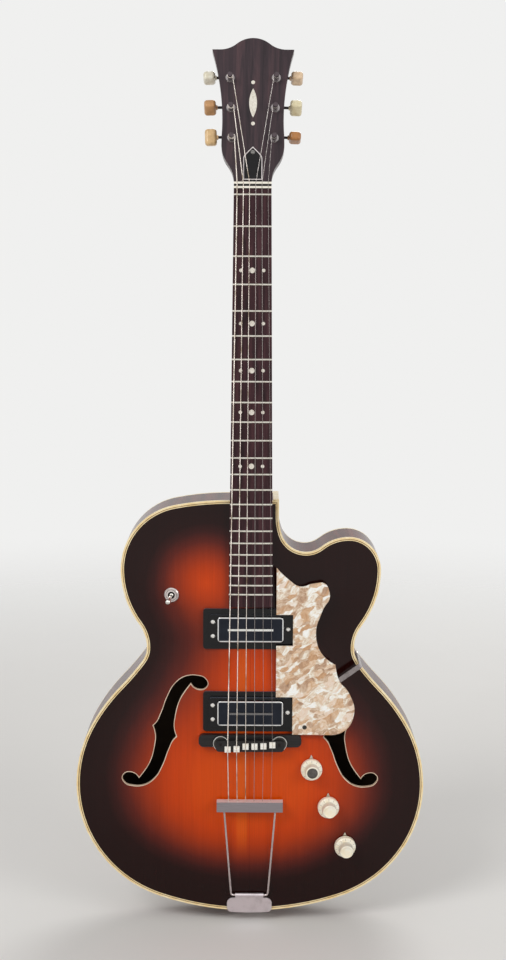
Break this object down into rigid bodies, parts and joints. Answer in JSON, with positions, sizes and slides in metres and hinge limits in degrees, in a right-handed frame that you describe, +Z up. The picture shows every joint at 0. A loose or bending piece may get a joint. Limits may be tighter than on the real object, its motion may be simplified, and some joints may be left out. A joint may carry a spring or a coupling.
{
  "type": "archtop guitar",
  "caption": "Hollow-body electric archtop guitar: arched top with f-holes, cutaway, trapeze tailpiece, floating bridge, pickups and geared tuners.",
  "frame": {"origin": "the end pin's seat on the tail, at mid depth of the sides", "axes": "+Z up the neck towards the headstock, -Y out of the front (strings side), +X towards the cutaway (treble) side"},
  "size_m": [0.4146, 0.111, 1.0457],
  "materials": {
    "top_finish": "gloss sunburst lacquer",
    "side_finish": "gloss dark red-brown lacquer",
    "inner_wood": "raw",
    "cream_binding": "gloss, aged",
    "black_line": "gloss",
    "neck_finish": "gloss dark lacquer",
    "rosewood": "satin",
    "fret_wire": "polished nickel silver",
    "nut_bone": "satin",
    "pearl": "pearl",
    "head_face": "satin",
    "rod_steel": "plain steel",
    "black_plastic": "gloss",
    "nickel": "polished nickel plate",
    "ivory_button": "gloss, aged",
    "string_steel": "bright",
    "ebony": "satin black",
    "saddle_white": "satin",
    "coil": "wax dipped",
    "guard_pearl": "pearl",
    "knob_cream": "gloss, aged",
    "lead": "plain"
  },
  "bodies": {
    "guitar": {"soundboard": "top_finish", "back_plate": "side_finish", "ribs": "side_finish", "linings": "inner_wood", "blocks_and_tone_bars": "inner_wood", "bindings": "cream_binding", "purfling": "black_line", "f_hole_bindings": "cream_binding", "neck": "neck_finish", "fingerboard": "rosewood", "frets": "fret_wire", "nut": "nut_bone", "pearl_inlays": "pearl", "head_veneer": "head_face", "truss_rod": "rod_steel", "truss_rod_cover": "black_plastic", "tuner_plates": "nickel", "tuner_bushings": "nickel", "strings": "string_steel", "bridge_base": "ebony", "bridge_studs": "rod_steel", "tailpiece_bracket": "nickel", "tailpiece_trapeze": "nickel", "end_pin": "nickel", "pickup_rings": "black_plastic", "pickup_covers": "nickel", "pickup_coils": "coil", "pickguard": "guard_pearl", "pickguard_bracket": "nickel", "control_pots": "nickel", "switch_body": "nickel", "output_jack": "nickel", "screws": "nickel", "wiring": "lead"},
    "bridge_top_group": {"bridge_top": "ebony", "bridge_saddles": "saddle_white"},
    "wheel_bass": {"thumbwheel_bass": "nickel"},
    "wheel_treble": {"thumbwheel_treble": "nickel"},
    "switch_lever": {"switch_lever": "nickel"},
    "knob_1": {"knob_1": "knob_cream"},
    "knob_2": {"knob_2": "knob_cream"},
    "knob_3": {"knob_3": "knob_cream"},
    "tuner_key_1": {"tuner_worm_1": "nickel", "tuner_button_1": "ivory_button"},
    "tuner_post_1": {"tuner_post_1": "nickel"},
    "tuner_key_2": {"tuner_worm_2": "nickel", "tuner_button_2": "ivory_button"},
    "tuner_post_2": {"tuner_post_2": "nickel"},
    "tuner_key_3": {"tuner_worm_3": "nickel", "tuner_button_3": "ivory_button"},
    "tuner_post_3": {"tuner_post_3": "nickel"},
    "tuner_key_4": {"tuner_worm_4": "nickel", "tuner_button_4": "ivory_button"},
    "tuner_post_4": {"tuner_post_4": "nickel"},
    "tuner_key_5": {"tuner_worm_5": "nickel", "tuner_button_5": "ivory_button"},
    "tuner_post_5": {"tuner_post_5": "nickel"},
    "tuner_key_6": {"tuner_worm_6": "nickel", "tuner_button_6": "ivory_button"},
    "tuner_post_6": {"tuner_post_6": "nickel"}
  },
  "joints": [
    {"name": "tuner_key_1_turn", "type": "hinge", "parent": "guitar", "child": "tuner_key_1", "pos_m": [-0.02451, 0.01586, 0.92001], "axis": [-0.9995, -0.0068, -0.0307], "continuous": true},
    {"name": "tuner_post_1_turn", "type": "hinge", "parent": "guitar", "child": "tuner_post_1", "pos_m": [-0.0243, -0.00551, 0.91784], "axis": [0, -0.9763, 0.2164], "continuous": true},
    {"name": "tuner_key_2_turn", "type": "hinge", "parent": "guitar", "child": "tuner_key_2", "pos_m": [-0.02561, 0.02344, 0.95418], "axis": [-0.9995, -0.0068, -0.0307], "continuous": true},
    {"name": "tuner_post_2_turn", "type": "hinge", "parent": "guitar", "child": "tuner_post_2", "pos_m": [-0.0254, 0.00206, 0.95201], "axis": [0, -0.9763, 0.2164], "continuous": true},
    {"name": "tuner_key_3_turn", "type": "hinge", "parent": "guitar", "child": "tuner_key_3", "pos_m": [-0.02671, 0.03102, 0.98835], "axis": [-0.9995, -0.0068, -0.0307], "continuous": true},
    {"name": "tuner_post_3_turn", "type": "hinge", "parent": "guitar", "child": "tuner_post_3", "pos_m": [-0.0265, 0.00964, 0.98618], "axis": [0, -0.9763, 0.2164], "continuous": true},
    {"name": "tuner_key_4_turn", "type": "hinge", "parent": "guitar", "child": "tuner_key_4", "pos_m": [0.02671, 0.03102, 0.98835], "axis": [0.9995, -0.0068, -0.0307], "continuous": true},
    {"name": "tuner_post_4_turn", "type": "hinge", "parent": "guitar", "child": "tuner_post_4", "pos_m": [0.0265, 0.00964, 0.98618], "axis": [0, -0.9763, 0.2164], "continuous": true},
    {"name": "tuner_key_5_turn", "type": "hinge", "parent": "guitar", "child": "tuner_key_5", "pos_m": [0.02561, 0.02344, 0.95418], "axis": [0.9995, -0.0068, -0.0307], "continuous": true},
    {"name": "tuner_post_5_turn", "type": "hinge", "parent": "guitar", "child": "tuner_post_5", "pos_m": [0.0254, 0.00206, 0.95201], "axis": [0, -0.9763, 0.2164], "continuous": true},
    {"name": "tuner_key_6_turn", "type": "hinge", "parent": "guitar", "child": "tuner_key_6", "pos_m": [0.02451, 0.01586, 0.92001], "axis": [0.9995, -0.0068, -0.0307], "continuous": true},
    {"name": "tuner_post_6_turn", "type": "hinge", "parent": "guitar", "child": "tuner_post_6", "pos_m": [0.0243, -0.00551, 0.91784], "axis": [0, -0.9763, 0.2164], "continuous": true},
    {"name": "knob_1_turn", "type": "hinge", "parent": "guitar", "child": "knob_1", "pos_m": [0.0726, -0.04503, 0.1834], "axis": [0.0467, -0.9989, 0.0077], "range_deg": [-150, 150]},
    {"name": "knob_2_turn", "type": "hinge", "parent": "guitar", "child": "knob_2", "pos_m": [0.0931, -0.0433, 0.1364], "axis": [0.0708, -0.9967, -0.0393], "range_deg": [-150, 150]},
    {"name": "knob_3_turn", "type": "hinge", "parent": "guitar", "child": "knob_3", "pos_m": [0.1138, -0.03749, 0.0859], "axis": [0.0905, -0.9894, -0.1138], "range_deg": [-150, 150]},
    {"name": "switch_throw", "type": "hinge", "parent": "guitar", "child": "switch_lever", "pos_m": [-0.09269, -0.03809, 0.39126], "axis": [0.9436, -0.1143, -0.3107], "range_deg": [-40, 0]},
    {"name": "bridge_height", "type": "slide", "parent": "guitar", "child": "bridge_top_group", "axis": [0, -1, 0], "range_m": [-0.0011, 0]},
    {"name": "thumbwheel_bass_turn", "type": "hinge", "parent": "bridge_top_group", "child": "wheel_bass", "pos_m": [-0.0345, -0.057, 0.21701], "axis": [0, -1, 0], "range_deg": [-570, 0]},
    {"name": "thumbwheel_treble_turn", "type": "hinge", "parent": "bridge_top_group", "child": "wheel_treble", "pos_m": [0.0345, -0.057, 0.21701], "axis": [0, -1, 0], "range_deg": [-570, 0]}
  ],
  "couplings": [
    {"joint": "tuner_post_1_turn", "follows": "tuner_key_1_turn", "ratio": -0.071429},
    {"joint": "tuner_post_2_turn", "follows": "tuner_key_2_turn", "ratio": -0.071429},
    {"joint": "tuner_post_3_turn", "follows": "tuner_key_3_turn", "ratio": -0.071429},
    {"joint": "tuner_post_4_turn", "follows": "tuner_key_4_turn", "ratio": -0.071429},
    {"joint": "tuner_post_5_turn", "follows": "tuner_key_5_turn", "ratio": -0.071429},
    {"joint": "tuner_post_6_turn", "follows": "tuner_key_6_turn", "ratio": -0.071429},
    {"joint": "thumbwheel_bass_turn", "follows": "bridge_height", "rad_per_m": 8976},
    {"joint": "thumbwheel_treble_turn", "follows": "bridge_height", "rad_per_m": 8976}
  ]
}
